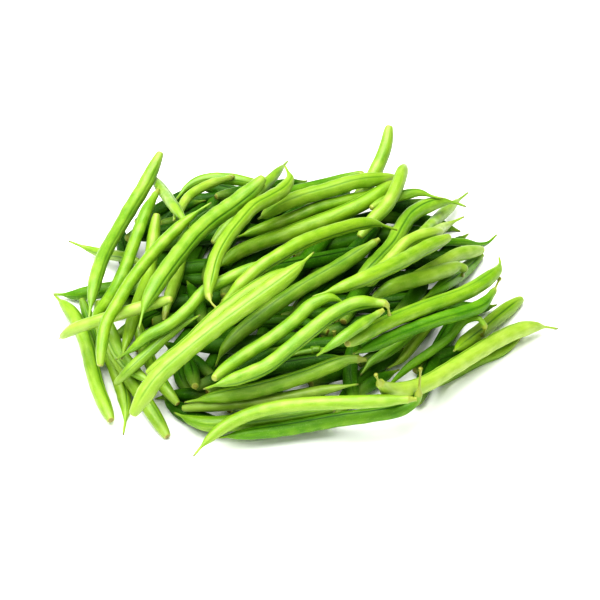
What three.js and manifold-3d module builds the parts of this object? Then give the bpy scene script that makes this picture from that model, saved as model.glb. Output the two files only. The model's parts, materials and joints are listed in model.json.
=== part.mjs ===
// A loose heap of fresh green beans (snap beans), as picked, resting on z = 0. Millimetres, +Z up,
// the heap's front towards -Y. Each outer pod is a solid of its own. The pods inside the heap,
// which only show through the gaps, are fused in one node. The outer pods are laid one by one,
// farthest first: each comes to rest on those already there, so no two cross.
import * as THREE from 'three';
import { mergeVertices } from 'three/addons/utils/BufferGeometryUtils.js';
import Module from 'manifold-3d';

const wasm = await Module();
wasm.setup();

// ---- Driving dimensions ----
const VIEW_TILT = THREE.MathUtils.degToRad(40);   // how steeply the pods' paths look down on the heap
const GAP = 0.3;                 // clear space between pods that touch

// The rounded form that the outer pods follow
const MOUND = { across: 240, deep: 208, high: 52, midX: 2, midY: -11, fullness: 2.5 };

// One pod: a section of flat sides, one of them facing down, and rings along the body. The ends'
// profiles are [distance from the end, share of the body's radius].
const SIDES = 7;
const RING_STEP = 14;
const STALK_RADIUS = 0.95;
const STALK_WAIST = { from: 4, at: 0.6, share: 0.85 };
const TAIL_TIP_RADIUS = 0.4;
const TAIL_NECK = { at: 0.8, share: 1.9 };
const SHOULDER = [[1.5, 0.52], [5, 0.62], [13, 0.95]];
const CUT_END = [[0.3, 0.66], [2, 0.84], [9, 0.97]];
const PLAIN_CUT_END = [[0.3, 0.66], [9, 1]];
const TAIL_END = [[13, 0.93], [4, 0.6]];
const TIP = 0.2;

// How a pod comes to rest: it may bend a little, and lies low, balanced and along the mound
const LIE = {
  samples: 60,                   // points along a pod at which it is tested against the heap
  passes: 6,
  ends: 0.15,                    // share of the length at each end left out of the mound's slope
  droops: [-4, 0, 4, 8],         // how far its ends may bend away from the viewer
  twists: [-3, 0, 3],            // how far it may bend one way and then the other
  bendCost: 0.1,
  unbalancedCost: 0.15,          // height that resting well on one side of the middle is worth
  turnedCost: 0.6,               // height that lying along the mound's slope is worth
  fixedCost: 50,                 // the same where the pod's rise is given
};
const TWIST_PEAK = 2.6;          // brings the greatest offset of t^3 - t to 1

// The pods inside the heap: crossing layers that get smaller upward, with two short rows on the
// floor at the front corners
const INNER = { girth: 9, stalk: 0, tail: 3, plain: true, sides: 6, step: 36 };
const LAYERS = [
  { level: 0, across: 186, deep: 164, midX: 3, midY: -8, heading: 64 },
  { level: 0, across: 80, deep: 24, midX: 84, midY: -44, heading: 24 },
  { level: 0, across: 44, deep: 36, midX: -46, midY: -84, heading: 150 },
  { level: 1, across: 172, deep: 128, midX: 6, midY: 8, heading: 12 },
  { level: 2, across: 140, deep: 88, midX: 8, midY: 16, heading: 64 },
];
const ROWS = { pitch: 20, stray: 3, turn: 0.3, bow: 7, longest: 108, split: 120, apart: 2 };
const PRESS = 1;                 // how far one layer's flat sides press into the next

// More inner pods, drawn at random through the gaps between the outer ones
const FILL = { ...INNER, girth: 7.5 };
const DRAWN = { tries: 200000, low: 4, high: 50, half: [15, 45], climb: 0.35, samples: 20, shown: 2 };
const SUNK = [1.2, 4.5];         // least and most that such a pod presses into another
const GAPS = { across: 103, up: 63, midX: 4, midUp: 2, fullness: 2.2, margin: 0.3, cell: 1 };

const SHADES = {
  bright: { color: '#8fbf2c', roughness: 0.42, metalness: 0 },
  pale: { color: '#c6da72', roughness: 0.45, metalness: 0 },
  deep: { color: '#4f8a1e', roughness: 0.42, metalness: 0 },
  inner: { color: '#35631a', roughness: 0.5, metalness: 0 },
};

// ---- The outer pods, in the order in which they are laid ----
// A path runs from the stem end to the tail as [across, up, lift]: where the pod is seen from the
// front, looking down on the heap at VIEW_TILT, with 0, 0 at the middle of the heap. How high it
// lies, and so how far back, comes from what it rests on; lift is how far a stalk or tail rises
// from that. stalk is the stem's length, 0 where it is cut off, and tail is that of the thin beak.
// rise, where a pod has one, is how much higher its tail lies than its stem end.
const PODS = [
  // Floor of the left side
  { at: 'left', shade: 'deep', girth: 7.5, stalk: 0, tail: 8,
    path: [[-72, 9.5], [-92, 9], [-106, 6], [-119, 6.5]] },
  { at: 'left', shade: 'deep', girth: 6, stalk: 0, tail: 4,
    path: [[-104, 4], [-100, -6], [-95, -18], [-92, -28]] },
  { at: 'left', shade: 'bright', girth: 7.5, stalk: 0, tail: 6,
    path: [[-87, -56], [-95, -38], [-100, -20], [-107, -5], [-118, 6]] },
  { at: 'left', shade: 'bright', girth: 7, stalk: 0, tail: 12,
    path: [[-95, 3], [-93, -8], [-90, -20], [-84, -35], [-80, -50], [-81, -63]] },
  { at: 'left', shade: 'bright', girth: 7.5, stalk: 0, tail: 6,
    path: [[-59, -64], [-70, -47], [-79, -34], [-87, -20], [-91, -6]] },
  { at: 'left', shade: 'bright', girth: 6.5, stalk: 0, tail: 6,
    path: [[-54, -48], [-62, -38], [-69, -26], [-74, -12], [-77, 2]] },
  { at: 'left', shade: 'bright', girth: 7, stalk: 0, tail: 6,
    path: [[-90, -6], [-86, -17], [-82, -25], [-76, -31], [-69, -36], [-64, -36]] },
  { at: 'left', shade: 'bright', girth: 5.5, stalk: 0, tail: 6,
    path: [[-85, -38], [-78, -31], [-67, -21], [-57, -12], [-43, -4]] },
  // Front edge
  { at: 'front', shade: 'bright', girth: 8, stalk: 0, tail: 6,
    path: [[23, -50], [-2, -54], [-27, -57], [-43, -57], [-56, -52]] },
  { at: 'front', shade: 'pale', girth: 6, stalk: 0, tail: 8,
    path: [[-52, -50], [-42, -49], [-15, -47], [12, -42], [35, -38]] },
  // Right side, lowest pods
  { at: 'right', shade: 'bright', girth: 5, stalk: 5, tail: 6,
    path: [[117, -14], [110, -21], [99, -25.5], [82, -34], [72, -39]] },
  { at: 'right', shade: 'bright', girth: 7.5, stalk: 0, tail: 6,
    path: [[118, 4], [108, -3], [98, -11], [82, -22]] },
  { at: 'right', shade: 'pale', girth: 6, stalk: 0, tail: 6,
    path: [[75, -4], [64, -17], [57, -26], [49, -31]] },
  { at: 'front', shade: 'bright', girth: 6, stalk: 0, tail: 5,
    path: [[70, -6], [62, -12], [52, -21], [42, -27], [36, -34]] },
  { at: 'right', shade: 'deep', girth: 4.5, stalk: 9, tail: 8,
    path: [[97, -14, 2], [98, -10, 6], [96, -6.5, 6], [91, -4.5, 2], [88, -8], [77, -18], [60, -30], [49, -40]] },
  { at: 'front', shade: 'bright', girth: 7.5, stalk: 3, tail: 8,
    path: [[39, -26], [30, -26], [17, -31], [2, -36], [-18, -41.5], [-40, -45], [-51, -47]] },
  { at: 'front', shade: 'pale', girth: 8.5, stalk: 8, tail: 10,
    path: [[43, -33, 3], [45, -37, 2], [51, -41], [65, -39], [80, -31], [95, -22], [110, -14], [123, -10], [136, -11]] },
  { at: 'front', shade: 'deep', girth: 7, stalk: 17, tail: 6,
    path: [[65, -30, 19], [64.5, -38, 9], [63, -46], [55, -50.5], [27, -55], [-2, -60], [-18, -62], [-34, -64]] },
  { at: 'front', shade: 'bright', girth: 7, stalk: 3, tail: 8,
    path: [[63, -45], [32, -46.5], [8, -47.5], [-10, -50], [-20, -53], [-30, -58], [-40, -66], [-46, -73]] },
  // Right side
  { at: 'right', shade: 'deep', girth: 6.5, stalk: 0, tail: 6,
    path: [[99, 27], [89, 18], [77, 10], [66, 3]] },
  { at: 'right', shade: 'deep', girth: 4, stalk: 0, tail: 12,
    path: [[60, 28], [75, 32], [88, 33], [100, 32], [107, 37, 2]] },
  { at: 'right', shade: 'pale', girth: 7.5, stalk: 0, tail: 6,
    path: [[99, 29], [85, 26], [76, 21], [65, 15], [54, 9]] },
  { at: 'right', shade: 'bright', girth: 6, stalk: 0, tail: 12,
    path: [[62, 31], [70, 39], [83, 51], [93, 59]] },
  { at: 'right', shade: 'pale', girth: 6, stalk: 0, tail: 8,
    path: [[62, 31], [72, 36], [82, 42], [90, 46]] },
  { at: 'top', shade: 'bright', girth: 8, stalk: 0, tail: 9, rise: -8,
    path: [[34, 12], [46, 24], [54, 33], [60, 44], [70, 51], [82, 53.5], [91, 51]] },
  { at: 'right', shade: 'bright', girth: 8, stalk: 7, tail: 6,
    path: [[88, 16, 1], [88.5, 19.5, 2], [85, 20], [77, 17.5], [65, 14], [52, 10], [38, 2]] },
  { at: 'right', shade: 'pale', girth: 6.5, stalk: 0, tail: 6,
    path: [[77, 38], [62, 34], [54, 26], [45, 17], [39, 11]] },
  { at: 'right', shade: 'bright', girth: 7.5, stalk: 0, tail: 8,
    path: [[81, 35], [70, 30], [57, 23], [40, 15], [25, 9], [12, 5]] },
  { at: 'right', shade: 'deep', girth: 6.5, stalk: 12, tail: 6,
    path: [[106, 14], [102, 7], [95, 0], [77, -5.5], [57, -12.5], [47, -17], [32, -23]] },
  { at: 'right', shade: 'bright', girth: 7.5, stalk: 0, tail: 6,
    path: [[29, -18], [47, -8.5], [67, -0.5], [87, 6.5], [97, 12], [106, 20], [106, 25, 1]] },
  { at: 'top', shade: 'bright', girth: 5, stalk: 7, tail: 5,
    path: [[23, -12, 6], [23, -17, 2], [20, -21], [11, -22], [-2, -25]] },
  { at: 'top', shade: 'bright', girth: 6, stalk: 2, tail: 6,
    path: [[47, -1.5], [40, -6], [28, -14], [14, -24]] },
  { at: 'top', shade: 'bright', girth: 7, stalk: 0, tail: 6,
    path: [[-36, -35], [-25, -26], [-12, -18], [3, -7], [10, -0.5], [18, 4.5], [25, 3.5], [29, -1]] },
  { at: 'top', shade: 'bright', girth: 7.5, stalk: 6, tail: 9,
    path: [[50, -4, 1], [48.5, 1, 2], [44, 2], [32, 1.5], [20, -5], [5, -17], [-12, -30], [-25, -35], [-41, -40]] },
  // Top, from the back edge forward
  { at: 'back', shade: 'deep', girth: 5.5, stalk: 6, tail: 8, rise: 8,
    path: [[39, 62, 0], [38, 68, 1], [35, 68], [22, 64], [1, 59], [-11, 55], [-26, 48]] },
  { at: 'top', shade: 'bright', girth: 7.5, stalk: 0, tail: 8, rise: -18,
    path: [[52, 93, 1], [49.5, 80], [44, 68], [37, 57], [26, 44]] },
  { at: 'back', shade: 'bright', girth: 6, stalk: 0, tail: 8, rise: -4,
    path: [[-38, 32], [-30, 42], [-20, 54], [-10, 64], [0, 75]] },
  { at: 'back', shade: 'bright', girth: 5.5, stalk: 0, tail: 8, rise: 0,
    path: [[-12, 62], [-30, 65], [-42, 65], [-51, 61], [-57, 54]] },
  { at: 'top', shade: 'pale', girth: 5, stalk: 3, tail: 8,
    path: [[-28, 66], [-37, 63], [-45, 60], [-52, 53], [-57, 43]] },
  { at: 'top', shade: 'bright', girth: 7, stalk: 0, tail: 6,
    path: [[50, 60], [40, 56], [30, 54], [12, 49.5], [0, 44], [-26, 35]] },
  { at: 'top', shade: 'bright', girth: 7.5, stalk: 0, tail: 7,
    path: [[54, 66], [32, 63], [25, 61], [12, 56.5], [0, 53.5], [-15, 44]] },
  { at: 'top', shade: 'bright', girth: 8, stalk: 0, tail: 8,
    path: [[54, 63], [42, 55], [32, 49.5], [8, 40], [-8, 34], [-22, 29], [-38, 18]] },
  { at: 'top', shade: 'bright', girth: 6, stalk: 0, tail: 8, rise: -6,
    path: [[42, 50], [50, 54], [67, 58], [74, 56], [79, 55]] },
  { at: 'top', shade: 'pale', girth: 7, stalk: 0, tail: 10, rise: -4,
    path: [[36, 35], [41, 42], [49, 50], [54, 58], [57, 66], [60, 73]] },
  // Left side, lowest first
  { at: 'left', shade: 'bright', girth: 5.5, stalk: 0, tail: 8, rise: -8,
    path: [[-74, 22], [-82, 25], [-94, 27], [-103, 30], [-112, 33.5]] },
  { at: 'left', shade: 'bright', girth: 6, stalk: 0, tail: 8,
    path: [[-69, 66], [-56, 49], [-47, 37]] },
  { at: 'left', shade: 'bright', girth: 6.5, stalk: 3, tail: 6,
    path: [[-66, 59], [-72, 47], [-78, 30], [-83, 16], [-90, 3], [-97, -6]] },
  { at: 'left', shade: 'bright', girth: 7, stalk: 0, tail: 6,
    path: [[-66, 47], [-68, 32], [-70, 15], [-75, 0], [-80, -18], [-82, -26]] },
  { at: 'left', shade: 'pale', girth: 6.5, stalk: 3, tail: 6,
    path: [[-62, -7], [-60, 2], [-56, 15], [-50, 32]] },
  { at: 'left', shade: 'bright', girth: 7, stalk: 0, tail: 8,
    path: [[-65, 79], [-73, 62], [-80, 50], [-87, 37], [-93, 25], [-97, 10], [-99, -6]] },
  { at: 'left', shade: 'pale', girth: 6.5, stalk: 0, tail: 10,
    path: [[-57, 4], [-75, -1], [-88, -5], [-100, -9], [-106, -11], [-114, -16]] },
  { at: 'left', shade: 'bright', girth: 8.5, stalk: 0, tail: 10,
    path: [[-12, 65], [-22, 55], [-33, 47], [-43, 39], [-50, 31], [-62, 15], [-70, 1], [-73, -11]] },
  { at: 'left', shade: 'bright', girth: 6.5, stalk: 0, tail: 10,
    path: [[-92, -29], [-90, -10], [-85, 0], [-76, 15], [-62, 32], [-47, 46], [-38, 52]] },
  { at: 'left', shade: 'bright', girth: 6.5, stalk: 0, tail: 8,
    path: [[-11, 22], [-25, 16], [-35, 11], [-43, 6.5], [-48, 0], [-57, -8], [-67, -13], [-77, -21], [-85, -26]] },
  // Topmost pods
  { at: 'top', shade: 'pale', girth: 7, stalk: 9, tail: 8,
    path: [[-34, -1.5, 0], [-38, 3, 1], [-39, 8], [-37, 18], [-34, 28], [-28, 37], [-17, 50], [-5, 57], [1, 64, 1], [-2, 72, 2]] },
  { at: 'top', shade: 'bright', girth: 7, stalk: 3, tail: 10,
    path: [[-34, -1], [-30, 3.5], [-22, 12], [-13, 20], [-5, 25], [5, 31], [17, 36], [30, 40], [42, 42], [55, 38.5]] },
  { at: 'top', shade: 'bright', girth: 7.5, stalk: 2, tail: 6,
    path: [[46, 34], [27, 21], [8, 10], [-3, 3], [-15, -6], [-25, -14], [-33, -23], [-36, -30]] },
  { at: 'top', shade: 'bright', girth: 7, stalk: 0, tail: 6,
    path: [[-69, -33], [-50, -19], [-32, -2], [-12, 12], [5, 21]] },
  { at: 'top', shade: 'pale', girth: 8.5, stalk: 0, tail: 8,
    path: [[-76, -53], [-65, -36], [-50, -22], [-35, -10], [-17, 3], [2, 17], [13, 27]] },
];

// ---- One pod's girth along its length ----
// Returns [distance from the stem end's tip, radius] stations. The first and last are on the axis.
function podStations(length, pod) {
  const body = pod.girth / 2;
  const { stalk, tail, step = RING_STEP } = pod;
  const stations = [[0, 0]];
  if (stalk > 0) {
    stations.push([TIP, STALK_RADIUS]);
    if (stalk > STALK_WAIST.from) {
      stations.push([stalk * STALK_WAIST.at, STALK_RADIUS * STALK_WAIST.share]);
    }
    stations.push([stalk, STALK_RADIUS]);
    for (const [past, share] of SHOULDER) stations.push([stalk + past, body * share]);
  } else {
    for (const [past, share] of pod.plain ? PLAIN_CUT_END : CUT_END) stations.push([past, body * share]);
  }
  const [from] = stations[stations.length - 1];
  const to = length - tail - TAIL_END[0][0];
  const rings = Math.max(1, Math.round((to - from) / step));
  for (let ring = 1; ring < rings; ring += 1) {
    stations.push([from + ((to - from) * ring) / rings, body]);
  }
  for (const [before, share] of TAIL_END) stations.push([length - tail - before, body * share]);
  if (!pod.plain) stations.push([length - tail * TAIL_NECK.at, TAIL_TIP_RADIUS * TAIL_NECK.share]);
  stations.push([length - TIP, TAIL_TIP_RADIUS], [length, 0]);
  return stations;
}

function radiusAt(stations, distance) {
  for (let i = 1; i < stations.length; i += 1) {
    const [s0, r0] = stations[i - 1];
    const [s1, r1] = stations[i];
    if (distance <= s1) return r0 + ((r1 - r0) * (distance - s0)) / (s1 - s0);
  }
  return 0;
}

// The middle of a flat side, as a share of the radius.
function facetOf(sides) {
  return Math.cos(Math.PI / sides);
}

// ---- A pod's solid: a turned profile, bent along its middle line ----
function podGeometry(points, pod) {
  const curve = new THREE.CatmullRomCurve3(points, false, 'centripetal');
  curve.arcLengthDivisions = 400;
  const length = curve.getLength();
  const { sides = SIDES } = pod;
  const profile = podStations(length, pod).map(([s, r]) => new THREE.Vector2(r, s));
  const turned = new THREE.LatheGeometry(profile, sides);
  const place = turned.attributes.position;
  for (let i = 0; i < place.count; i += 1) {
    const share = THREE.MathUtils.clamp(place.getY(i) / length, 0, 1);
    const radius = Math.hypot(place.getX(i), place.getZ(i));
    const turn = Math.atan2(place.getX(i), place.getZ(i)) + Math.PI / 2 + Math.PI / sides;
    const ahead = curve.getTangentAt(share);
    const side = new THREE.Vector3(0, 0, 1).cross(ahead).normalize();
    const up = ahead.clone().cross(side);
    const point = curve.getPointAt(share);
    point.addScaledVector(side, -radius * Math.cos(turn)).addScaledVector(up, -radius * Math.sin(turn));
    place.setXYZ(i, point.x, point.y, Math.max(point.z, 0));
  }
  return weld(turned);
}

// Leaves only position, with shared corners merged and triangles of no area gone.
function weld(geometry) {
  geometry.deleteAttribute('normal');
  geometry.deleteAttribute('uv');
  const merged = mergeVertices(geometry, 1e-4);
  const corners = merged.index.array;
  const kept = [];
  for (let i = 0; i < corners.length; i += 3) {
    const [a, b, c] = corners.slice(i, i + 3);
    if (a !== b && b !== c && c !== a) kept.push(a, b, c);
  }
  merged.setIndex(kept);
  return merged;
}

// ---- Solids ----
function solidOf(geometry) {
  return new wasm.Manifold(new wasm.Mesh({
    numProp: 3,
    vertProperties: new Float32Array(geometry.attributes.position.array),
    triVerts: new Uint32Array(geometry.index.array),
  }));
}

function geometryOf(solid) {
  const mesh = solid.getMesh();
  const geometry = new THREE.BufferGeometry();
  geometry.setAttribute('position', new THREE.BufferAttribute(mesh.vertProperties, 3));
  geometry.setIndex(new THREE.BufferAttribute(mesh.triVerts, 1));
  return geometry;
}

function isApart(a, b) {
  return [0, 1, 2].some((axis) => a.min[axis] > b.max[axis] || b.min[axis] > a.max[axis]);
}

function isClear(solid, others) {
  const box = solid.boundingBox();
  return others.every((other) => isApart(box, other.boundingBox()) || solid.intersect(other).volume() <= 0);
}

// Fuses solids and keeps the largest piece, so no loose scrap or sealed hollow is left.
function fuse(solids) {
  const pieces = solids.reduce((whole, solid) => whole.add(solid)).decompose();
  return pieces.sort((a, b) => b.volume() - a.volume())[0];
}

// ---- Places as seen: x across, y up, and z towards the viewer, square to the other two ----
function seenFromHeap(p) {
  return new THREE.Vector3(
    p.x,
    p.y * Math.sin(VIEW_TILT) + p.z * Math.cos(VIEW_TILT),
    p.z * Math.sin(VIEW_TILT) - p.y * Math.cos(VIEW_TILT),
  );
}

function heapFromSeen(p) {
  return new THREE.Vector3(
    p.x,
    p.y * Math.sin(VIEW_TILT) - p.z * Math.cos(VIEW_TILT),
    p.y * Math.cos(VIEW_TILT) + p.z * Math.sin(VIEW_TILT),
  );
}

// How near a point that is seen at a given place comes when it is at a given height.
function nearAtHeight(up, height) {
  return (height - up * Math.cos(VIEW_TILT)) / Math.sin(VIEW_TILT);
}

// Balls along a pod's middle line, as seen, with their height over the floor.
function ballsAlong(line, pod, count) {
  const curve = new THREE.CatmullRomCurve3(line, false, 'centripetal');
  const length = curve.getLength();
  const stations = podStations(length, pod);
  return curve.getSpacedPoints(count).map((point, i) => {
    const { x, y, z } = seenFromHeap(point);
    return { x, y, z, height: point.z, radius: radiusAt(stations, (length * i) / count) };
  });
}

// ---- The mound ----
function moundHeight(x, y) {
  const alongX = Math.abs(x - MOUND.midX) / (MOUND.across / 2);
  const alongY = Math.abs(y - MOUND.midY) / (MOUND.deep / 2);
  return MOUND.high * (1 - alongX ** MOUND.fullness - alongY ** MOUND.fullness);
}

// How near the mound's surface is where it is seen, or where the line of sight passes closest.
function nearOfMound(across, up) {
  let best = { miss: Infinity, near: 0 };
  for (let height = MOUND.high; height >= 0; height -= 1) {
    const near = nearAtHeight(up, height);
    const place = heapFromSeen(new THREE.Vector3(across, up, near));
    const miss = height - moundHeight(place.x, place.y);
    if (miss < best.miss) best = { miss, near };
    if (miss <= 0) break;
  }
  return best.near;
}

// ---- Laying an outer pod on what is already there ----
function lengthsAlong(points) {
  const lengths = [0];
  for (let i = 1; i < points.length; i += 1) {
    lengths.push(lengths[i - 1] + points[i].distanceTo(points[i - 1]));
  }
  return lengths;
}

// The farthest from the viewer that each point may lie, over the floor and the pods already laid.
function clearances(points, radii, laid, gap) {
  return points.map((point, i) => {
    let nearest = nearAtHeight(point.y, radii[i] * facetOf(SIDES));
    for (const ball of laid) {
      const reach = radii[i] + ball.radius + gap;
      const aside = point.x - ball.x;
      const above = point.y - ball.y;
      const room = reach * reach - aside * aside - above * above;
      if (room > 0) nearest = Math.max(nearest, ball.z + Math.sqrt(room));
    }
    return nearest;
  });
}

// Straight lines that rest on the clearances: on two of them, or on one at the slope asked for.
function restLines(along, clear, slope) {
  const lines = [];
  let from = 0;
  while (from < along.length - 1) {
    let to = from + 1;
    const steepness = (j) => (clear[j] - clear[from]) / (along[j] - along[from]);
    for (let j = from + 2; j < along.length; j += 1) if (steepness(j) > steepness(to)) to = j;
    lines.push({ slope: steepness(to), s: along[from], near: clear[from], span: [along[from], along[to]] });
    from = to;
  }
  let top = 0;
  for (let i = 1; i < along.length; i += 1) {
    if (clear[i] - slope * along[i] > clear[top] - slope * along[top]) top = i;
  }
  lines.push({ slope, s: along[top], near: clear[top], span: [along[top], along[top]] });
  return lines;
}

// Rests a stiff pod, bent a little or not, at the least cost. Returns how near each point lies.
function restOn(along, clear, lift, slope, turnedCost) {
  const length = along[along.length - 1];
  const middle = length / 2;
  let best = null;
  for (const droop of LIE.droops) {
    for (const twist of LIE.twists) {
      const bend = along.map((s) => {
        const t = (s - middle) / middle;
        return twist * (t ** 3 - t) * TWIST_PEAK - droop * t * t;
      });
      const bentCost = (Math.abs(droop) + Math.abs(twist)) * LIE.bendCost;
      for (const line of restLines(along, clear.map((z, i) => z - lift[i] - bend[i]), slope)) {
        const near = line.near + line.slope * (middle - line.s) - droop / 3;
        const off = Math.max(line.span[0] - middle, middle - line.span[1], 0);
        const turn = Math.abs(line.slope - slope) * length;
        const cost = near + bentCost + off * LIE.unbalancedCost + turn * turnedCost;
        if (!best || cost < best.cost) best = { cost, line, bend };
      }
    }
  }
  const { line, bend } = best;
  return along.map((s, i) => line.near + line.slope * (s - line.s) + bend[i] + lift[i]);
}

// Lays one pod and returns its balls, as seen.
function layPod(pod, laid, gap) {
  const last = LIE.samples - 1;
  const path = pod.path.map(([across, up, lift = 0]) => new THREE.Vector3(across, up, lift));
  const seen = new THREE.CatmullRomCurve3(path, false, 'centripetal').getSpacedPoints(last);
  const lift = seen.map((point) => point.z);
  const first = Math.round(last * LIE.ends);
  const nearOf = (i) => nearOfMound(seen[i].x, seen[i].y);
  const fixed = pod.rise !== undefined;
  const nearer = fixed
    ? nearAtHeight(seen[last].y - seen[0].y, pod.rise)
    : (nearOf(last - first) - nearOf(first)) / (1 - 2 * LIE.ends);
  seen.forEach((point, i) => point.setZ((nearer * i) / last));
  let radii = [];
  for (let pass = 0; pass < LIE.passes; pass += 1) {
    const along = lengthsAlong(seen);
    const stations = podStations(along[last], pod);
    radii = along.map((s) => radiusAt(stations, s));
    const clear = clearances(seen, radii, laid, gap);
    const turnedCost = fixed ? LIE.fixedCost : LIE.turnedCost;
    const rested = restOn(along, clear, lift, nearer / along[last], turnedCost);
    seen.forEach((point, i) => point.setZ(rested[i]));
  }
  return seen.map(({ x, y, z }, i) => ({ x, y, z, radius: radii[i] }));
}

// Lays a pod with just enough clear space for its flat-sided solid to miss the others.
function layClear(pod, laid, solids) {
  let geometry = null;
  for (let gap = GAP; !geometry; gap += GAP) {
    const balls = layPod(pod, laid, gap);
    const tried = podGeometry(balls.map(heapFromSeen), pod);
    const solid = solidOf(tried);
    if (!isClear(solid, solids)) continue;
    laid.push(...balls);
    geometry = tried;
  }
  return geometry;
}

// ---- The pods inside the heap ----
function seededRandom(seed) {
  let state = seed;
  return () => {
    state = (state * 1664525 + 1013904223) % 4294967296;
    return state / 4294967296;
  };
}

// Five points of a bowed line through a place, t going from -1 to 1 about a shifted middle.
function bowedLine(place, heading, half, bow, climb = 0, shift = 0) {
  return [-1, -0.5, 0, 0.5, 1].map((t) => {
    const ahead = half * t - shift;
    const aside = bow * (1 - t * t);
    return new THREE.Vector3(
      place.x + Math.cos(heading) * ahead - Math.sin(heading) * aside,
      place.y + Math.sin(heading) * ahead + Math.cos(heading) * aside,
      place.z + climb * ahead,
    );
  });
}

// The middle lines of one layer's pods: nearly parallel rows inside an ellipse.
function layerLines({ across, deep, midX, midY, heading }, z, draw) {
  const lines = [];
  const along = THREE.MathUtils.degToRad(heading);
  const run = new THREE.Vector2(Math.cos(along), Math.sin(along));
  const reach = Math.hypot((across / 2) * run.y, (deep / 2) * run.x);
  const rows = Math.floor(reach / ROWS.pitch);
  for (let row = -rows; row <= rows; row += 1) {
    const offset = row * ROWS.pitch + (draw() - 0.5) * ROWS.stray;
    const chord = (Math.sqrt(Math.max(0, 1 - (offset / reach) ** 2)) * across * deep) / (2 * reach);
    const pieces = chord > ROWS.split ? 2 : 1;
    for (let piece = 0; piece < pieces; piece += 1) {
      const middle = pieces === 2 ? (piece - 0.5) * (chord / 2) : 0;
      const place = new THREE.Vector3(
        midX - offset * run.y + run.x * middle,
        midY + offset * run.x + run.y * middle,
        z,
      );
      const half = Math.min(chord / pieces - ROWS.apart, ROWS.longest) / 2;
      const turned = along + (draw() - 0.5) * ROWS.turn;
      lines.push(bowedLine(place, turned, half, (draw() - 0.5) * 2 * ROWS.bow));
    }
  }
  return lines;
}

function coreLines() {
  const draw = seededRandom(7);
  const thick = INNER.girth * facetOf(INNER.sides);
  return LAYERS.flatMap((layer) => (
    layerLines(layer, thick / 2 + layer.level * (thick - PRESS), draw)
  ));
}

// Whether a place, as seen, is one where a gap between the outer pods shows the heap's inside.
function inGaps(p) {
  const across = Math.abs((p.x - GAPS.midX) / GAPS.across) ** GAPS.fullness;
  return across + Math.abs((p.y - GAPS.midUp) / GAPS.up) ** GAPS.fullness < 1;
}

function cellOf(p) {
  return `${Math.round(p.x / GAPS.cell)},${Math.round(p.y / GAPS.cell)}`;
}

// Adds the cells of a grid, as seen, that a pod covers.
function cover(covered, balls) {
  for (const ball of balls) {
    for (let x = -ball.radius; x <= ball.radius; x += GAPS.cell) {
      for (let y = -ball.radius; y <= ball.radius; y += GAPS.cell) {
        if (Math.hypot(x, y) < ball.radius) covered.add(cellOf({ x: ball.x + x, y: ball.y + y }));
      }
    }
  }
}

// Whether a pod is clear of the floor and the outer pods, behind those that it crosses.
function isBehind(balls, outer) {
  return balls.every((ball) => {
    if (ball.height < ball.radius) return false;
    let hidden = false;
    for (const other of outer) {
      const aside = Math.hypot(ball.x - other.x, ball.y - other.y);
      const reach = ball.radius + other.radius;
      if (Math.hypot(aside, ball.z - other.z) < reach + GAP + GAPS.margin) return false;
      if (aside < reach - 1 && ball.z > other.z) return false;
      if (aside < other.radius) hidden = true;
    }
    return hidden || inGaps(ball);
  });
}

// How far a pod presses into the inner pods at its deepest.
function depthIn(balls, inner) {
  const depths = balls.map((ball) => Math.max(...inner.map((other) => (
    ball.radius + other.radius - Math.hypot(ball.x - other.x, ball.y - other.y, ball.z - other.z)
  ))));
  return Math.max(...depths);
}

// A pod's middle line through a place, as seen. It takes the same number of draws whatever they are.
function drawnPod(draw) {
  const within = (low, high) => low + draw() * (high - low);
  const seen = {
    x: GAPS.midX + within(-GAPS.across, GAPS.across),
    y: GAPS.midUp + within(-GAPS.up, GAPS.up),
  };
  const near = nearAtHeight(seen.y, DRAWN.low + draw() ** 2 * (DRAWN.high - DRAWN.low));
  const half = within(...DRAWN.half);
  const climb = within(-DRAWN.climb, DRAWN.climb);
  const bow = within(-ROWS.bow, ROWS.bow);
  const heading = within(0, Math.PI);
  const shift = within(-half / 2, half / 2);
  return { seen, line: bowedLine(heapFromSeen({ ...seen, z: near }), heading, half, bow, climb, shift) };
}

// Solids of pods drawn through the gaps, each pressed into an inner pod already there.
function fillSolids(core, outer, outerSolids) {
  const draw = seededRandom(11);
  const inner = [...core];
  const covered = new Set();
  cover(covered, [...outer, ...core]);
  const solids = [];
  for (let turn = 0; turn < DRAWN.tries; turn += 1) {
    const { seen, line } = drawnPod(draw);
    if (!inGaps(seen) || covered.has(cellOf(seen))) continue;
    const balls = ballsAlong(line, FILL, DRAWN.samples);
    const shown = balls.filter((ball) => !covered.has(cellOf(ball)));
    if (shown.length < DRAWN.shown || !isBehind(balls, outer)) continue;
    const depth = depthIn(balls, inner);
    if (depth < SUNK[0] || depth > SUNK[1]) continue;
    const solid = solidOf(podGeometry(line, FILL));
    if (!isClear(solid, outerSolids)) continue;
    solids.push(solid);
    inner.push(...balls);
    cover(covered, balls);
  }
  return solids;
}

// ---- The heap ----
const heap = new THREE.Group();

function addMesh(name, geometry, shade) {
  const mesh = new THREE.Mesh(geometry, new THREE.MeshStandardMaterial(SHADES[shade]));
  mesh.name = name;
  heap.add(mesh);
}

const core = coreLines();
const coreBalls = core.flatMap((line) => ballsAlong(line, INNER, LIE.samples));
const coreSolids = core.map((line) => solidOf(podGeometry(line, INNER)));
const laid = [...coreBalls];
const outerSolids = [];
const counts = {};
for (const pod of PODS) {
  counts[pod.at] = (counts[pod.at] ?? 0) + 1;
  const geometry = layClear(pod, laid, [...coreSolids, ...outerSolids]);
  addMesh(`${pod.at}_pod_${counts[pod.at]}`, geometry, pod.shade);
  outerSolids.push(solidOf(geometry));
}

const fill = fillSolids(coreBalls, laid.slice(coreBalls.length), outerSolids);
addMesh('inner_pods', geometryOf(fuse([...coreSolids, ...fill])), 'inner');

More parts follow.
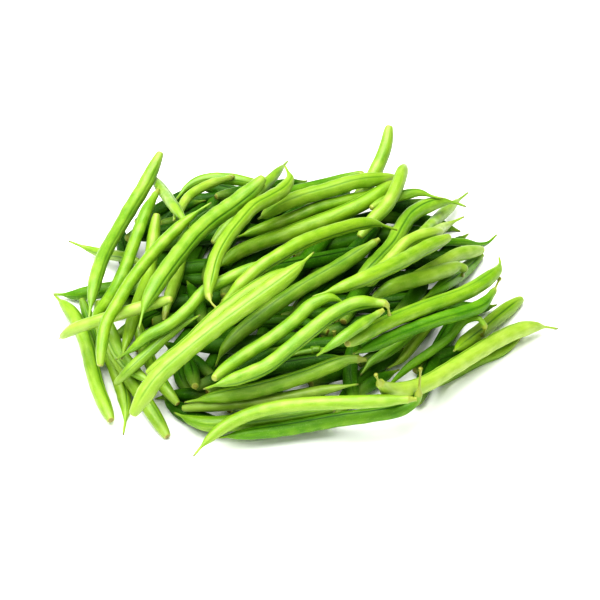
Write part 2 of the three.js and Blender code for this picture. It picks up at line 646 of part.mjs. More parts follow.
// The middle of the heap's box stands over the origin.
const middle = new THREE.Box3().setFromObject(heap).getCenter(new THREE.Vector3());
heap.position.set(-middle.x, -middle.y, 0);

export default heap;
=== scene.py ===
"""A loose heap of fresh green beans on a pale floor.

Each outer pod of the frame is read back as its middle line and girth, and built again round and
smooth, with its two seams, the swellings over its seeds, its stem end and its thin tail.
"""
import itertools
import json
import math
import random

import bmesh
import bpy
import numpy as np
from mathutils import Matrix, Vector

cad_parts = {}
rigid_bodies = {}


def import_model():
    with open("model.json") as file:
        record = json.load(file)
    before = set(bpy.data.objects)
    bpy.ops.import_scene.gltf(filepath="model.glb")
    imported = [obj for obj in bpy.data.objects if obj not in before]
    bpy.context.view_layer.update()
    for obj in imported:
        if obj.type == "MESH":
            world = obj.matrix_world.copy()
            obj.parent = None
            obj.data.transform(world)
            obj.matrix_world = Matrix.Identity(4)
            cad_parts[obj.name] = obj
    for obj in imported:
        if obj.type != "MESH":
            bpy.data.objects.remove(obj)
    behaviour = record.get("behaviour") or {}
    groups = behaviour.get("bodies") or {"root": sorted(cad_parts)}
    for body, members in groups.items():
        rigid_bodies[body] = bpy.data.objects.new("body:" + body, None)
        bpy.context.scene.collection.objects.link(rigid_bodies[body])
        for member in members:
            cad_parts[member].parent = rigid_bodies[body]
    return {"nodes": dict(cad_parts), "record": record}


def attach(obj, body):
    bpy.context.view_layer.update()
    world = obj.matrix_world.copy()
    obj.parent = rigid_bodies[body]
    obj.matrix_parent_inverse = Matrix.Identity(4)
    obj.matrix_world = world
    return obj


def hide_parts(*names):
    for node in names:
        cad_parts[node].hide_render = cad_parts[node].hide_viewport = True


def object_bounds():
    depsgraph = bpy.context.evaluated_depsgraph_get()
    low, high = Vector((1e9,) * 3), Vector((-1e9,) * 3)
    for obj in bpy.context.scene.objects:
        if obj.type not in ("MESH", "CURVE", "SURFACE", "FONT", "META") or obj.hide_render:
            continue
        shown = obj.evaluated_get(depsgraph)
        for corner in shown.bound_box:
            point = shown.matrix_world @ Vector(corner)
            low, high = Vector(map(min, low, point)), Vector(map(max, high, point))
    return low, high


for leftover in list(bpy.data.objects):
    bpy.data.objects.remove(leftover)
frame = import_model()
cad_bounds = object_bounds()

MM = 0.001

# ---- The pods of the frame ----
CAD_SIDES = 7                # sides of a turned pod, and so the edges at each of its poles
MERGE = 1e-6
BROAD_END = 1.3 * MM         # a first ring wider than this is a bare stem end, with no stalk
STALK_GIRTH = 1.1 * MM       # rings narrower than this belong to the stalk

# ---- The visible pods ----
RING_STEP = 0.9 * MM
SEAM_TURNS = (0.0, 0.07, 0.15, 0.28)         # turns of the section's points beside each seam
FLANK_POINTS = 5                             # points between the seams on each side
SEAM_WIDTH = 0.11
SEAM_DEPTH = 0.075           # share of the radius
BACK_SEAM_SHARE = 0.6        # how deep the second seam is against the first
SEED_SPACING = (7.5 * MM, 12.0 * MM)
SEED_WIDTH = 3.2 * MM
SEED_SIZE = (0.3, 1.0)
SEEDS_START = 6 * MM         # from the stem end
FLANK_SHARE = 0.65           # how much of a seed's swelling is on the flanks alone
LONG_WAVE = {"swell": 0.022, "step": 17 * MM}
SHORT_WAVE = {"swell": 0.014, "step": 7.3 * MM}
BODY_START, BODY_EASE = 3 * MM, 8 * MM       # seams and swellings fade in over the stem end
BODY_TAIL = 22 * MM                          # and out over the tail
OVAL = 0.03
END_CROWDING = 0.085         # how far rings crowd towards a pod's ends
FEWEST_RINGS = 24
NEAREST_KNOTS = 0.25 * MM    # stations closer together than this count as one

random.seed(41)


def ring_layers(mesh):
    """The rings of a turned pod's vertices, from one pole to the other."""
    work = bmesh.new()
    work.from_mesh(mesh)
    bmesh.ops.remove_doubles(work, verts=work.verts, dist=MERGE)
    work.verts.index_update()
    pole = next(v for v in work.verts if len(v.link_edges) == CAD_SIDES)
    layers = [[pole]]
    known = {pole}
    while layers[-1]:
        beyond = {e.other_vert(v) for v in layers[-1] for e in v.link_edges} - known
        known |= beyond
        layers.append(sorted(beyond, key=lambda v: v.index))
    rings = [np.array([v.co[:] for v in layer]) for layer in layers if layer]
    work.free()
    return rings


def read_pod(node):
    """The middle line's points and radii of a pod, from its stem end to its tail."""
    rings = ring_layers(frame["nodes"][node].data)
    centres = np.array([ring.mean(axis=0) for ring in rings])
    radii = np.array([np.linalg.norm(ring - ring.mean(axis=0), axis=1).mean() for ring in rings])
    if radii[1] < radii[-2]:
        centres = centres[::-1]
        radii = radii[::-1]
    return centres, radii


def distances(points):
    steps = np.linalg.norm(np.diff(points, axis=0), axis=1)
    return np.concatenate([[0.0], np.cumsum(steps)])


def smooth_slopes(x, y):
    """Slopes at the stations that make a cubic through them with no overshoot."""
    step = np.diff(x)
    rise = np.diff(y) / step
    slopes = np.zeros(len(x))
    slopes[0] = rise[0]
    slopes[-1] = rise[-1]
    for i in range(1, len(x) - 1):
        if rise[i - 1] * rise[i] > 0:
            w1 = 2 * step[i] + step[i - 1]
            w2 = step[i] + 2 * step[i - 1]
            slopes[i] = (w1 + w2) / (w1 / rise[i - 1] + w2 / rise[i])
    return slopes


def line_slopes(x, y):
    """Slopes at the stations that make a cubic through them with even bends."""
    step = np.diff(x)
    rise = np.diff(y) / step
    slopes = np.empty(len(x))
    slopes[0] = rise[0]
    slopes[-1] = rise[-1]
    slopes[1:-1] = (rise[:-1] * step[1:] + rise[1:] * step[:-1]) / (step[1:] + step[:-1])
    return slopes


def cubic(x, y, slopes, at):
    i = np.clip(np.searchsorted(x, at) - 1, 0, len(x) - 2)
    h = x[i + 1] - x[i]
    t = (at - x[i]) / h
    return (
        (2 * t**3 - 3 * t**2 + 1) * y[i]
        + (t**3 - 2 * t**2 + t) * h * slopes[i]
        + (-2 * t**3 + 3 * t**2) * y[i + 1]
        + (t**3 - t**2) * h * slopes[i + 1]
    )


def section_turns():
    """Angles of the section's points, closer together beside the two seams."""
    turns = []
    edge = SEAM_TURNS[-1]
    for seam in (0.0, math.pi):
        turns += [seam - a for a in reversed(SEAM_TURNS[1:])]
        turns += [seam + a for a in SEAM_TURNS]
        width = (math.pi - 2 * edge) / (FLANK_POINTS + 1)
        turns += [seam + edge + width * (k + 1) for k in range(FLANK_POINTS)]
    return np.array(turns)


def upright_sides(tangents):
    """A side and an up direction at each point, turned as little as possible along the line."""
    side = np.cross((0.0, 0.0, 1.0), tangents[0])
    sides = []
    for ahead in tangents:
        side = side - ahead * side.dot(ahead)
        side /= np.linalg.norm(side)
        sides.append(side)
    sides = np.array(sides)
    return sides, np.cross(tangents, sides)


# A stem end: [distance from the end in millimetres, share of the body's radius]
STEM_DOME = (
    (0.0, 0.30), (0.12, 0.40), (0.5, 0.49), (1.5, 0.58), (4.0, 0.72), (8.0, 0.87), (13.0, 0.97),
)
STEM_DOME_END = 15 * MM       # where the frame's own radii take over
CAP_SPAN = 3.2 * MM           # the little cap that joins a stalk to its pod
CAP_SWELL = 0.65 * MM
STALK_SLIMMED = 0.28          # how much thinner a stalk is between its knobbed end and the cap
STALK_EASE = 2 * MM           # the length over which it thins
SLIM_BEFORE_CAP, SLIM_AFTER_KNOB = 0.5, 0.6   # where that starts, in lengths of STALK_EASE
CAP_LOBES = 5
LOBE_DEPTH = 0.2
STALK_FLARE = 1.25            # at the stalk's snapped end
TAIL_TIP_SHARE = 0.55         # of the radius of the ring before it


def girth_stations(stations, radii):
    """Radii along a visible pod: the frame's, with a rounded stem end or a snapped stalk."""
    if radii[1] > BROAD_END:
        body = radii.max()
        keep = stations > STEM_DOME_END
        x = np.concatenate([[d * MM for d, _ in STEM_DOME], stations[keep]])
        y = np.concatenate([[share * body for _, share in STEM_DOME], radii[keep]])
    else:
        x = np.concatenate([[0.0], stations[1:]])
        y = np.concatenate([[radii[1] * STALK_FLARE], radii[1:]])
    y[-1] = y[-2] * TAIL_TIP_SHARE
    return x, y


def seed_swell(at, length, first, strength):
    """How much the seeds swell a pod at each distance."""
    swell = np.zeros(len(at))
    s = first + random.uniform(*SEED_SPACING)
    while s < length - first:
        swell += random.uniform(*SEED_SIZE) * np.exp(-(((at - s) / SEED_WIDTH) ** 2))
        s += random.uniform(*SEED_SPACING)
    return swell * strength


class Skin:
    """Points, faces and the masks that the skin's material reads, of one or more pods."""

    def __init__(self):
        self.points = []
        self.faces = []
        self.masks = {}
        self.count = 0

    def add(self, points, faces, masks):
        self.faces += [tuple(c + self.count for c in face) for face in faces]
        self.points.append(points)
        self.count += len(points)
        for label, values in masks.items():
            self.masks.setdefault(label, []).append(values)

    def piece(self, name):
        mesh = bpy.data.meshes.new(name)
        mesh.from_pydata(np.concatenate(self.points).tolist(), [], self.faces)
        mesh.update()
        mesh.shade_smooth()
        for label, values in self.masks.items():
            layer = mesh.attributes.new(label, "FLOAT", "POINT")
            layer.data.foreach_set("value", np.concatenate(values))
        made = bpy.data.objects.new(name, mesh)
        bpy.context.scene.collection.objects.link(made)
        return made


def add_pod(skin, centres, radii, roll, swell, tint, pale, ring_step=RING_STEP):
    """Adds one visible pod to a skin: a round tube along the pod's middle line."""
    stations = distances(centres)
    length = stations[-1]
    stalk = 0.0
    if radii[1] <= BROAD_END:
        stalk = stations[max(i for i in range(1, len(radii) // 2) if radii[i] < STALK_GIRTH)]
    count = max(FEWEST_RINGS, int(length / ring_step))
    even = np.linspace(0, 1, count)
    at = (even - np.sin(2 * math.pi * even) * END_CROWDING) * length
    x, y = girth_stations(stations, radii)
    girth = cubic(x, y, smooth_slopes(x, y), at)
    keep = np.concatenate([[True], np.diff(stations) > NEAREST_KNOTS])
    if not keep[-1]:
        keep[-2] = False
        keep[-1] = True
    knots = stations[keep]
    line = np.stack([
        cubic(knots, centres[keep, axis], line_slopes(knots, centres[keep, axis]), at)
        for axis in range(3)
    ], axis=1)
    tangents = np.gradient(line, axis=0)
    tangents /= np.linalg.norm(tangents, axis=1)[:, None]
    sides, ups = upright_sides(tangents)

    turns = section_turns()
    points = len(turns)
    seam = np.exp(-((np.minimum(turns, 2 * math.pi - turns) / SEAM_WIDTH) ** 2))
    back_seam = np.exp(-(((turns - math.pi) / SEAM_WIDTH) ** 2))
    seam = np.maximum(seam, BACK_SEAM_SHARE * back_seam)
    flank = 0.5 - 0.5 * np.cos(2 * turns)
    from_stem = at - stalk
    body = np.clip((from_stem - BODY_START) / BODY_EASE, 0, 1)
    body *= np.clip((length - at) / BODY_TAIL, 0, 1)
    seeds = seed_swell(at, length, stalk + SEEDS_START, swell)
    wave = (
        LONG_WAVE["swell"] * np.sin(at / LONG_WAVE["step"] + 2 * math.pi * tint)
        + SHORT_WAVE["swell"] * np.sin(at / SHORT_WAVE["step"] + 3 * math.pi * pale)
    )
    scale = 1 + body[:, None] * (
        seeds[:, None] * (1 - FLANK_SHARE + FLANK_SHARE * flank[None, :])
        + wave[:, None]
        - SEAM_DEPTH * seam[None, :]
        - OVAL * np.cos(2 * turns)[None, :]
    )
    reach = girth[:, None] * scale
    if stalk > 0:
        slimmed = np.clip(-from_stem / STALK_EASE - SLIM_BEFORE_CAP, 0, 1)
        slimmed *= np.clip(at / STALK_EASE - SLIM_AFTER_KNOB, 0, 1)
        reach = reach * (1 - STALK_SLIMMED * slimmed)[:, None]
        cap = np.exp(-((from_stem / (CAP_SPAN / 2)) ** 2))
        lobes = 1 - LOBE_DEPTH + LOBE_DEPTH * np.cos(CAP_LOBES * turns)
        reach = reach + cap[:, None] * CAP_SWELL * lobes[None, :]
    angle = turns[None, :] + roll
    verts = (
        line[:, None, :]
        + (reach * np.cos(angle))[:, :, None] * ups[:, None, :]
        + (reach * np.sin(angle))[:, :, None] * sides[:, None, :]
    ).reshape(-1, 3)
    ends = np.array([line[0], line[-1]])
    verts = np.concatenate([verts, ends])
    verts = np.clip(verts, *cad_bounds)

    faces = []
    for i in range(count - 1):
        for k in range(points):
            l = (k + 1) % points
            near, far = i * points, (i + 1) * points
            faces.append((near + k, near + l, far + l, far + k))
    first = count * points
    last = first + 1
    top = (count - 1) * points
    for k in range(points):
        l = (k + 1) % points
        faces.append((first, l, k))
        faces.append((last, top + k, top + l))

    def mask(ring_values, first_value, last_value):
        full = np.broadcast_to(ring_values, (count, points)).ravel()
        return np.concatenate([full, [first_value, last_value]])

    skin.add(verts, faces, {
        "stem_mm": mask(from_stem[:, None] / MM, -stalk / MM, (length - stalk) / MM),
        "tail_mm": mask((length - at)[:, None] / MM, length / MM, 0.0),
        # seed: where the seeds swell the flanks, which the skin's material colours paler as a
        # painted highlight
        "seed": mask(body[:, None] * seeds[:, None] * flank[None, :] / swell, 0.0, 0.0),
        "side_mm": mask(girth[:, None] * np.cos(turns)[None, :] / MM, 0.0, 0.0),
        "rise_mm": mask(girth[:, None] * np.sin(turns)[None, :] / MM, 0.0, 0.0),
        "seam": mask(body[:, None] * seam[None, :], 0.0, 0.0),
        "tint": mask(tint, tint, tint),
        "pale": mask(pale, pale, pale),
        "stalked": mask(float(stalk > 0), float(stalk > 0), float(stalk > 0)),
    })


# ---- Materials ----
def srgb(r, g, b):
    """A colour given in 0 to 255 display values, as the linear values that Blender takes."""
    linear = [
        ((c / 255 + 0.055) / 1.055) ** 2.4 if c > 10 else c / 255 / 12.92
        for c in (r, g, b)
    ]
    return (*linear, 1.0)


class Nodes:
    """A short way to add nodes to a material and link them."""

    def __init__(self, name):
        self.material = bpy.data.materials.new(name)
        self.material.use_nodes = True
        self.tree = self.material.node_tree
        self.skin = self.tree.nodes["Principled BSDF"]

    def add(self, kind, settings=None, **inputs):
        node = self.tree.nodes.new(kind)
        for key, value in (settings or {}).items():
            setattr(node, key, value)
        for key, value in inputs.items():
            self.put(node.inputs[key.replace("_", " ")], value)
        return node

    def put(self, socket, value):
        if isinstance(value, bpy.types.NodeSocket):
            self.tree.links.new(value, socket)
        else:
            socket.default_value = value

    def attribute(self, name):
        return self.add("ShaderNodeAttribute", {"attribute_name": name}).outputs["Fac"]

    def math(self, operation, *values, clamp=False):
        node = self.add("ShaderNodeMath", {"operation": operation, "use_clamp": clamp})
        for socket, value in zip(node.inputs, values):
            self.put(socket, value)
        return node.outputs[0]

    def span(self, value, low, high, to_low=0.0, to_high=1.0):
        """value between low and high, brought to a span from to_low to to_high with soft ends."""
        node = self.add("ShaderNodeMapRange", {"interpolation_type": "SMOOTHSTEP"})
        for key, given in zip(("Value", "From Min", "From Max", "To Min", "To Max"),
                              (value, low, high, to_low, to_high)):
            self.put(node.inputs[key], given)
        return node.outputs[0]

    def mix(self, factor, a, b, blend="MIX"):
        node = self.add("ShaderNodeMix", {"data_type": "RGBA", "blend_type": blend})
        self.put(node.inputs[0], factor)
        self.put(node.inputs[6], a)
        self.put(node.inputs[7], b)
        return node.outputs[2]

    def noise(self, scale, detail=2.0, rough=0.5, vector=None):
        inputs = {"Scale": scale, "Detail": detail, "Roughness": rough}
        if vector is not None:
            inputs["Vector"] = vector
        return self.add("ShaderNodeTexNoise", None, **inputs).outputs["Fac"]


def pod_skin(name, light, mid, dark, pale_green, sheen):
    """Fresh pod skin: green that changes along and around the pod, with pale flecks, darker seam
    grooves, a yellow-green stem end with a small scar, and a straw-coloured tail tip."""
    m = Nodes(name)
    place = m.add("ShaderNodeTexCoord").outputs["Object"]
    tint = m.attribute("tint")
    pale = m.attribute("pale")
    stem = m.attribute("stem_mm")
    tail = m.attribute("tail_mm")
    seam = m.attribute("seam")
    stalked = m.attribute("stalked")

    side = m.attribute("side_mm")
    rise = m.attribute("rise_mm")

    def grain(along, round_it, scale, detail):
        """Noise drawn out along the pod, different on each one."""
        start = m.math("ADD", m.math("MULTIPLY", stem, along), m.math("MULTIPLY", tint, 97.0))
        spot = m.add("ShaderNodeCombineXYZ", None, X=start)
        m.put(spot.inputs["Y"], m.math("MULTIPLY", side, round_it))
        m.put(spot.inputs["Z"], m.math("MULTIPLY", rise, round_it))
        return m.noise(scale, detail, 0.55, spot.outputs[0])

    patch = grain(0.5, 0.7, 0.16, 2.0)
    streak = grain(0.16, 1.0, 0.75, 3.0)
    fleck = m.noise(1300.0, 2.0, 0.6, place)
    depth = m.math("ADD", m.math("MULTIPLY", patch, 0.8), m.math("MULTIPLY", tint, 0.45))
    colour = m.mix(m.span(depth, 0.3, 0.95), mid, light)
    colour = m.mix(m.span(streak, 0.5, 0.75, 0.0, 0.32), colour, dark)
    colour = m.mix(m.span(streak, 0.5, 0.28, 0.0, 0.3), colour, pale_green)
    colour = m.mix(m.math("MULTIPLY", pale, m.span(patch, 0.35, 0.7, 0.4, 1.1)), colour, pale_green)
    colour = m.mix(m.span(fleck, 0.55, 0.72, 0.0, 0.13), colour, srgb(186, 206, 130))
    # painted highlight: paler over the seeds' swellings on the flanks, where the bumps catch the
    # light
    seed = m.attribute("seed")
    colour = m.mix(m.span(seed, 0.2, 0.8, 0.0, 0.34), colour, pale_green)
    colour = m.mix(m.math("MULTIPLY", seam, 0.9), colour, dark)
    # paler and yellower over the stem end
    colour = m.mix(m.span(stem, 12.0, 0.0, 0.0, 0.4), colour, srgb(158, 178, 84))
    # the stalk and the little cap that joins it to the pod
    colour = m.mix(m.math("MULTIPLY", stalked, m.span(stem, 2.2, 0.6)), colour, srgb(148, 160, 66))
    snapped = m.math("MULTIPLY", stalked, m.span(stem, -2.0, -6.5, 0.0, 0.5))
    colour = m.mix(snapped, colour, srgb(136, 132, 56))
    # the scar where an end has no stalk
    bare = m.math("SUBTRACT", 1.0, stalked)
    rim = m.math("MULTIPLY", bare, m.span(stem, 0.9, 0.3, 0.0, 0.7))
    colour = m.mix(rim, colour, srgb(168, 172, 84))
    scar = m.math("MULTIPLY", bare, m.span(stem, 0.3, 0.05, 0.0, 0.8))
    colour = m.mix(m.math("MULTIPLY", scar, m.span(tint, 0.2, 0.8)), colour, srgb(122, 104, 48))
    # the tail dries to straw at its tip
    colour = m.mix(m.span(tail, 9.0, 2.0, 0.0, 0.45), colour, srgb(150, 174, 62))
    colour = m.mix(m.span(tail, 2.2, 0.3, 0.0, 0.75), colour, srgb(112, 108, 58))

    m.put(m.skin.inputs["Base Color"], colour)
    m.put(m.skin.inputs["Roughness"], m.span(streak, 0.3, 0.7, 0.38, 0.5))
    m.put(m.skin.inputs["Specular IOR Level"], sheen)
    m.put(m.skin.inputs["Subsurface Weight"], 0.08)
    m.put(m.skin.inputs["Subsurface Radius"], (0.6, 1.0, 0.2))
    m.put(m.skin.inputs["Subsurface Scale"], 0.0025)
    relief = m.math("ADD", m.math("MULTIPLY", fleck, 0.5), streak)
    bump = m.add("ShaderNodeBump", None, Height=relief, Strength=0.25, Distance=0.0004)
    m.put(m.skin.inputs["Normal"], bump.outputs["Normal"])
    return m.material


SKINS = {
    "pod_bright": pod_skin(
        "bright_skin",
        srgb(130, 165, 24), srgb(101, 147, 12), srgb(52, 104, 4), srgb(162, 188, 82), 0.6,
    ),
    "pod_pale": pod_skin(
        "pale_skin",
        srgb(146, 174, 52), srgb(127, 163, 34), srgb(82, 129, 13), srgb(174, 195, 102), 0.6,
    ),
    "pod_deep": pod_skin(
        "deep_skin",
        srgb(98, 146, 10), srgb(69, 123, 5), srgb(32, 84, 2), srgb(130, 167, 42), 0.35,
    ),
    # painted shade: the pods inside the heap are coloured darker than the outer ones, for the shade
    # that falls in the gaps among them
    "pod_inner": pod_skin(
        "inner_painted_shade_skin",
        srgb(64, 112, 6), srgb(37, 83, 3), srgb(14, 46, 1), srgb(84, 124, 22), 0.2,
    ),
}

# ---- The outer pods ----
OUTER_SWELL = (0.04, 0.13)   # how far the seeds swell a pod, as a share of its radius
OUTER_PALE = 0.35            # how pale the palest patches are
PAINTED_SHADE_TINTS = {"front_pod_3": -0.6}   # painted shade: this pod gets a low tint, so it is coloured darker than the pod of the same green close beside it
slots = {part["node"]: part["material_slot"] for part in frame["record"]["subparts"]}


def dress(piece, node):
    piece.data.materials.append(SKINS[slots[node]])
    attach(piece, "root")
    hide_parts(node)


for node in sorted(frame["nodes"]):
    if node == "inner_pods":
        continue
    centres, radii = read_pod(node)
    skin = Skin()
    add_pod(
        skin,
        centres,
        radii,
        roll=random.uniform(0, 2 * math.pi),
        swell=random.uniform(*OUTER_SWELL),
        tint=PAINTED_SHADE_TINTS.get(node, random.random()),
        pale=random.uniform(0.0, OUTER_PALE),
    )
    dress(skin.piece(node + "_skin"), node)

# ---- The pods inside the heap ----
# The frame's node inner_pods is a fused heap of pods that were placed by this rule: crossing
# layers of rows, and then pods drawn through the gaps, of which the node holds some.
VIEW_TILT = math.radians(40)
LAYERS = (
    {"level": 0, "across": 186, "deep": 164, "mid_x": 3, "mid_y": -8, "heading": 64},
    {"level": 0, "across": 80, "deep": 24, "mid_x": 84, "mid_y": -44, "heading": 24},
    {"level": 0, "across": 44, "deep": 36, "mid_x": -46, "mid_y": -84, "heading": 150},
    {"level": 1, "across": 172, "deep": 128, "mid_x": 6, "mid_y": 8, "heading": 12},
    {"level": 2, "across": 140, "deep": 88, "mid_x": 8, "mid_y": 16, "heading": 64},
)
ROWS = {"pitch": 20, "stray": 3, "turn": 0.3, "bow": 7, "longest": 108, "split": 120, "apart": 2}
INNER_GIRTH, FILL_GIRTH = 9, 7.5
REGISTER_BY = slice(1, 4)    # the rows whose ends are looked for first
PRESS = 1
CORE_SEED, CORE_DRAWS = 7, 1000
DRAWN = {
    "seed": 11, "each": 8, "tries": 200000,
    "low": 4, "high": 50, "half": (15, 45), "climb": 0.35,
}
GAPS = {"across": 103, "up": 63, "mid_x": 4, "mid_up": 2, "fullness": 2.2}
MATCH = 0.002                # how near a pod's end lies to a corner of the node that holds it
CELL = 0.02                  # edge of the small cells of space that places are compared by
CELLS_ASIDE = 2**19
CELL_STRIDES = np.array([1, 2**20, 2**40])
INNER_PROFILE = (*STEM_DOME[:-1], (13.0, 1.0))
INNER_TAIL = ((16.0, 0.93), (7.0, 0.6), (3.0, 0.22), (0.2, 0.09))
INNER_POINTS = 25
INNER_RING_STEP = 2.2 * MM
INNER_SWELL = (0.02, 0.07)
INNER_PALE = 0.2
INNER_TIP = 0.2              # radius of the very tip, in millimetres


def seeded_draws(seed, count):
    """The first draws from 0 to 1 of a linear congruential generator, doubled up to the count."""
    modulus, multiplier, increment = 2**32, 1664525, 1013904223
    states = np.array([(seed * multiplier + increment) % modulus], dtype=np.uint64)
    while len(states) < count:
        ahead = (states * np.uint64(multiplier) + np.uint64(increment)) % np.uint64(modulus)
        states = np.concatenate([states, ahead])
        increment = (multiplier * increment + increment) % modulus
        multiplier = multiplier * multiplier % modulus
    return states[:count] / modulus


def bowed_line(place, heading, half, bow, climb=0.0, shift=0.0, points=INNER_POINTS):
    """Points of a bowed line through a place, in millimetres."""
    t = np.linspace(-1, 1, points)
    ahead = half * t - shift
    aside = bow * (1 - t * t)
    return np.stack([
        place[0] + math.cos(heading) * ahead - math.sin(heading) * aside,
        place[1] + math.sin(heading) * ahead + math.cos(heading) * aside,
        place[2] + climb * ahead,
    ], axis=1)


def layer_lines(layer, z, draw):
    lines = []
    along = math.radians(layer["heading"])
    run = (math.cos(along), math.sin(along))
    reach = math.hypot(layer["across"] / 2 * run[1], layer["deep"] / 2 * run[0])
    rows = int(reach // ROWS["pitch"])
    for row in range(-rows, rows + 1):
        offset = row * ROWS["pitch"] + (draw() - 0.5) * ROWS["stray"]
        share = math.sqrt(max(0.0, 1 - (offset / reach) ** 2))
        chord = share * layer["across"] * layer["deep"] / (2 * reach)
        pieces = 2 if chord > ROWS["split"] else 1
        for piece in range(pieces):
            middle = (piece - 0.5) * (chord / 2) if pieces == 2 else 0.0
            place = (
                layer["mid_x"] - offset * run[1] + run[0] * middle,
                layer["mid_y"] + offset * run[0] + run[1] * middle,
                z,
            )
            half = min(chord / pieces - ROWS["apart"], ROWS["longest"]) / 2
            turned = along + (draw() - 0.5) * ROWS["turn"]
            lines.append(bowed_line(place, turned, half, (draw() - 0.5) * 2 * ROWS["bow"]))
    return lines


def core_lines():
    draws = iter(seeded_draws(CORE_SEED, CORE_DRAWS))
    thick = INNER_GIRTH * math.cos(math.pi / 6)
    lines = []
    for layer in LAYERS:
        z = thick / 2 + layer["level"] * (thick - PRESS)
        lines += layer_lines(layer, z, lambda: next(draws))
    return lines


def drawn_pods():
    """Each pod that was tried in the gaps: the middle of its line and what bowed_line takes."""
    each = DRAWN["each"]
    draws = seeded_draws(DRAWN["seed"], DRAWN["tries"] * each).reshape(-1, each).T

    def within(column, low, high):
        return low + draws[column] * (high - low)

    across = GAPS["mid_x"] + within(0, -GAPS["across"], GAPS["across"])
    up = GAPS["mid_up"] + within(1, -GAPS["up"], GAPS["up"])
    height = DRAWN["low"] + draws[2] ** 2 * (DRAWN["high"] - DRAWN["low"])
    half = within(3, *DRAWN["half"])
    climb = within(4, -DRAWN["climb"], DRAWN["climb"])
    bow = within(5, -ROWS["bow"], ROWS["bow"])
    heading = within(6, 0, math.pi)
    shift = within(7, -half / 2, half / 2)
    deep = (up - height * math.cos(VIEW_TILT)) / math.sin(VIEW_TILT)
    spread = np.abs((across - GAPS["mid_x"]) / GAPS["across"]) ** GAPS["fullness"]
    spread += np.abs((up - GAPS["mid_up"]) / GAPS["up"]) ** GAPS["fullness"]
    return np.stack([across, deep, height, heading, half, bow, climb, shift], axis=1)[spread < 1]


def cell_keys(points):
    """A whole number for the small cell of space that each point lies in."""
    return (np.floor(points / CELL).astype(np.int64) + CELLS_ASIDE) @ CELL_STRIDES


def are_held(starts, ends, corner_keys):
    """Which middle lines the frame's node holds a pod of: an end of it is a corner there."""
    return np.isin(cell_keys(starts), corner_keys) | np.isin(cell_keys(ends), corner_keys)


def frame_shift(lines, corners, corner_keys):
    """How far the frame's model lies from the rule's own origin, in millimetres."""
    starts = np.array([line[0] for line in lines])
    ends = np.array([line[-1] for line in lines])
    best = (0, None)
    for start in starts[REGISTER_BY]:
        for corner in corners[np.abs(corners[:, 2] - start[2]) < MATCH]:
            shift = (corner - start) * (1, 1, 0)
            held = are_held(starts + shift, ends + shift, corner_keys).sum()
            best = max(best, (held, shift), key=lambda found: found[0])
    return best[1]


def inner_radii(length, girth):
    """Distances and radii along an inner pod."""
    head = [(d, share * girth / 2) for d, share in INNER_PROFILE]
    tail = [(length - d, share * girth / 2) for d, share in INNER_TAIL]
    return np.array(head + tail + [(length, INNER_TIP)])


corners = np.unique([v.co[:] for v in frame["nodes"]["inner_pods"].data.vertices], axis=0) / MM
nudges = np.array(list(itertools.product((-MATCH, MATCH), repeat=3)))
corner_keys = np.concatenate([cell_keys(corners + nudge) for nudge in nudges])
core = core_lines()
shift = frame_shift(core, corners, corner_keys)
inner = [
    (line, INNER_GIRTH)
    for line in core
    if are_held(line[:1] + shift, line[-1:] + shift, corner_keys)[0]
]
tried = drawn_pods()
headings, halves, climbs, slides = tried[:, 3], tried[:, 4], tried[:, 6], tried[:, 7]
ahead = np.stack([np.cos(headings), np.sin(headings), climbs], axis=1)
starts = tried[:, :3] + ahead * (-halves - slides)[:, None] + shift
ends = tried[:, :3] + ahead * (halves - slides)[:, None] + shift
for *place, heading, half, bow, climb, slide in tried[are_held(starts, ends, corner_keys)].tolist():
    inner.append((bowed_line(place, heading, half, bow, climb, slide), FILL_GIRTH))

skin = Skin()
for line, girth in inner:
    line = (line + shift) * MM
    stations = distances(line)
    profile = inner_radii(stations[-1] / MM, girth) * MM
    x, y = profile.T
    radii = cubic(x, y, smooth_slopes(x, y), stations)
    add_pod(
        skin,
        line,
        radii,
        roll=random.uniform(0, 2 * math.pi),
        swell=random.uniform(*INNER_SWELL),
        tint=random.random(),
        pale=random.uniform(0.0, INNER_PALE),
        ring_step=INNER_RING_STEP,
    )
dress(skin.piece("inner_pods_skin"), "inner_pods")

# ---- Floor, light and camera ----
FLOOR_HALF = 3.0


def plain(name, colour, roughness):
    m = Nodes(name)
    grain = m.noise(60.0, 3.0)
    shade = m.mix(m.span(grain, 0.3, 0.7, 0.0, 0.02), colour, srgb(225, 225, 225))
    m.put(m.skin.inputs["Base Color"], shade)
    m.put(m.skin.inputs["Roughness"], roughness)
    return m.material


floor_mesh = bpy.data.meshes.new("floor")
floor_mesh.from_pydata(
    [(x * FLOOR_HALF, y * FLOOR_HALF, 0.0) for x, y in ((-1, -1), (1, -1), (1, 1), (-1, 1))],
    [],
    [(0, 1, 2, 3)],
)
floor = bpy.data.objects.new("floor", floor_mesh)
floor.data.materials.append(plain("floor_paper", srgb(252, 252, 252), 0.9))
bpy.context.scene.collection.objects.link(floor)

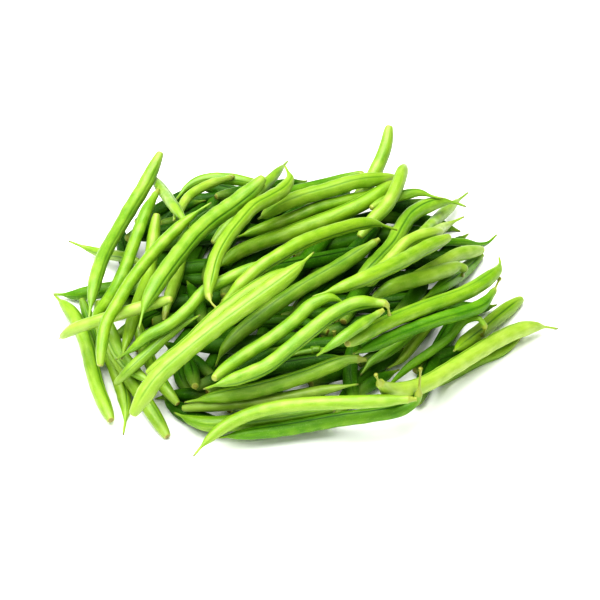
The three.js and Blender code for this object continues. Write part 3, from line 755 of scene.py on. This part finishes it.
world = bpy.data.worlds.new("studio")
world.use_nodes = True
world.node_tree.nodes["Background"].inputs["Color"].default_value = (1.0, 1.0, 1.0, 1.0)
world.node_tree.nodes["Background"].inputs["Strength"].default_value = 0.11
bpy.context.scene.world = world


def lamp(name, power, size, place, aim):
    """A square soft light at a place, facing another."""
    data = bpy.data.lights.new(name, "AREA")
    data.energy = power
    data.size = size
    lit = bpy.data.objects.new(name, data)
    lit.location = place
    lit.rotation_euler = (Vector(aim) - Vector(place)).to_track_quat("-Z", "Y").to_euler()
    bpy.context.scene.collection.objects.link(lit)


HEAP_MIDDLE = (0.0, 0.0, 0.03)
lamp("key", 51.0, 1.9, (-0.3, -0.05, 1.4), HEAP_MIDDLE)
lamp("fill", 8.0, 1.4, (0.3, -1.3, 0.9), HEAP_MIDDLE)

VIEW_DISTANCE = 3.0
FRAME_SIDE = 0.299           # width and height of the view at the heap, in metres
RULE_MIDDLE = (6.1, 3.4)     # the view's middle, across and up as seen, from the rule's origin

HEAP_FRONT = 0.03            # how far the aimed plane lies from the origin, towards the camera
SENSOR_WIDTH = 36.0
CLIP_END = 20.0

camera_data = bpy.data.cameras.new("camera")
camera_data.sensor_width = SENSOR_WIDTH
camera_data.lens = camera_data.sensor_width * VIEW_DISTANCE / FRAME_SIDE
camera_data.clip_end = CLIP_END
camera = bpy.data.objects.new("camera", camera_data)
towards = Vector((0.0, -math.cos(VIEW_TILT), math.sin(VIEW_TILT)))
up = Vector((0.0, math.sin(VIEW_TILT), math.cos(VIEW_TILT)))
seen_across = (RULE_MIDDLE[0] + shift[0]) * MM
seen_up = (RULE_MIDDLE[1] + shift[1] * math.sin(VIEW_TILT)) * MM
target = Vector((seen_across, 0.0, 0.0)) + up * seen_up + towards * HEAP_FRONT
camera.location = target + towards * VIEW_DISTANCE
camera.rotation_euler = (math.radians(90) - VIEW_TILT, 0.0, 0.0)
bpy.context.scene.collection.objects.link(camera)
bpy.context.scene.camera = camera

bpy.context.scene.view_settings.view_transform = "Standard"
bpy.context.scene.view_settings.look = "High Contrast"
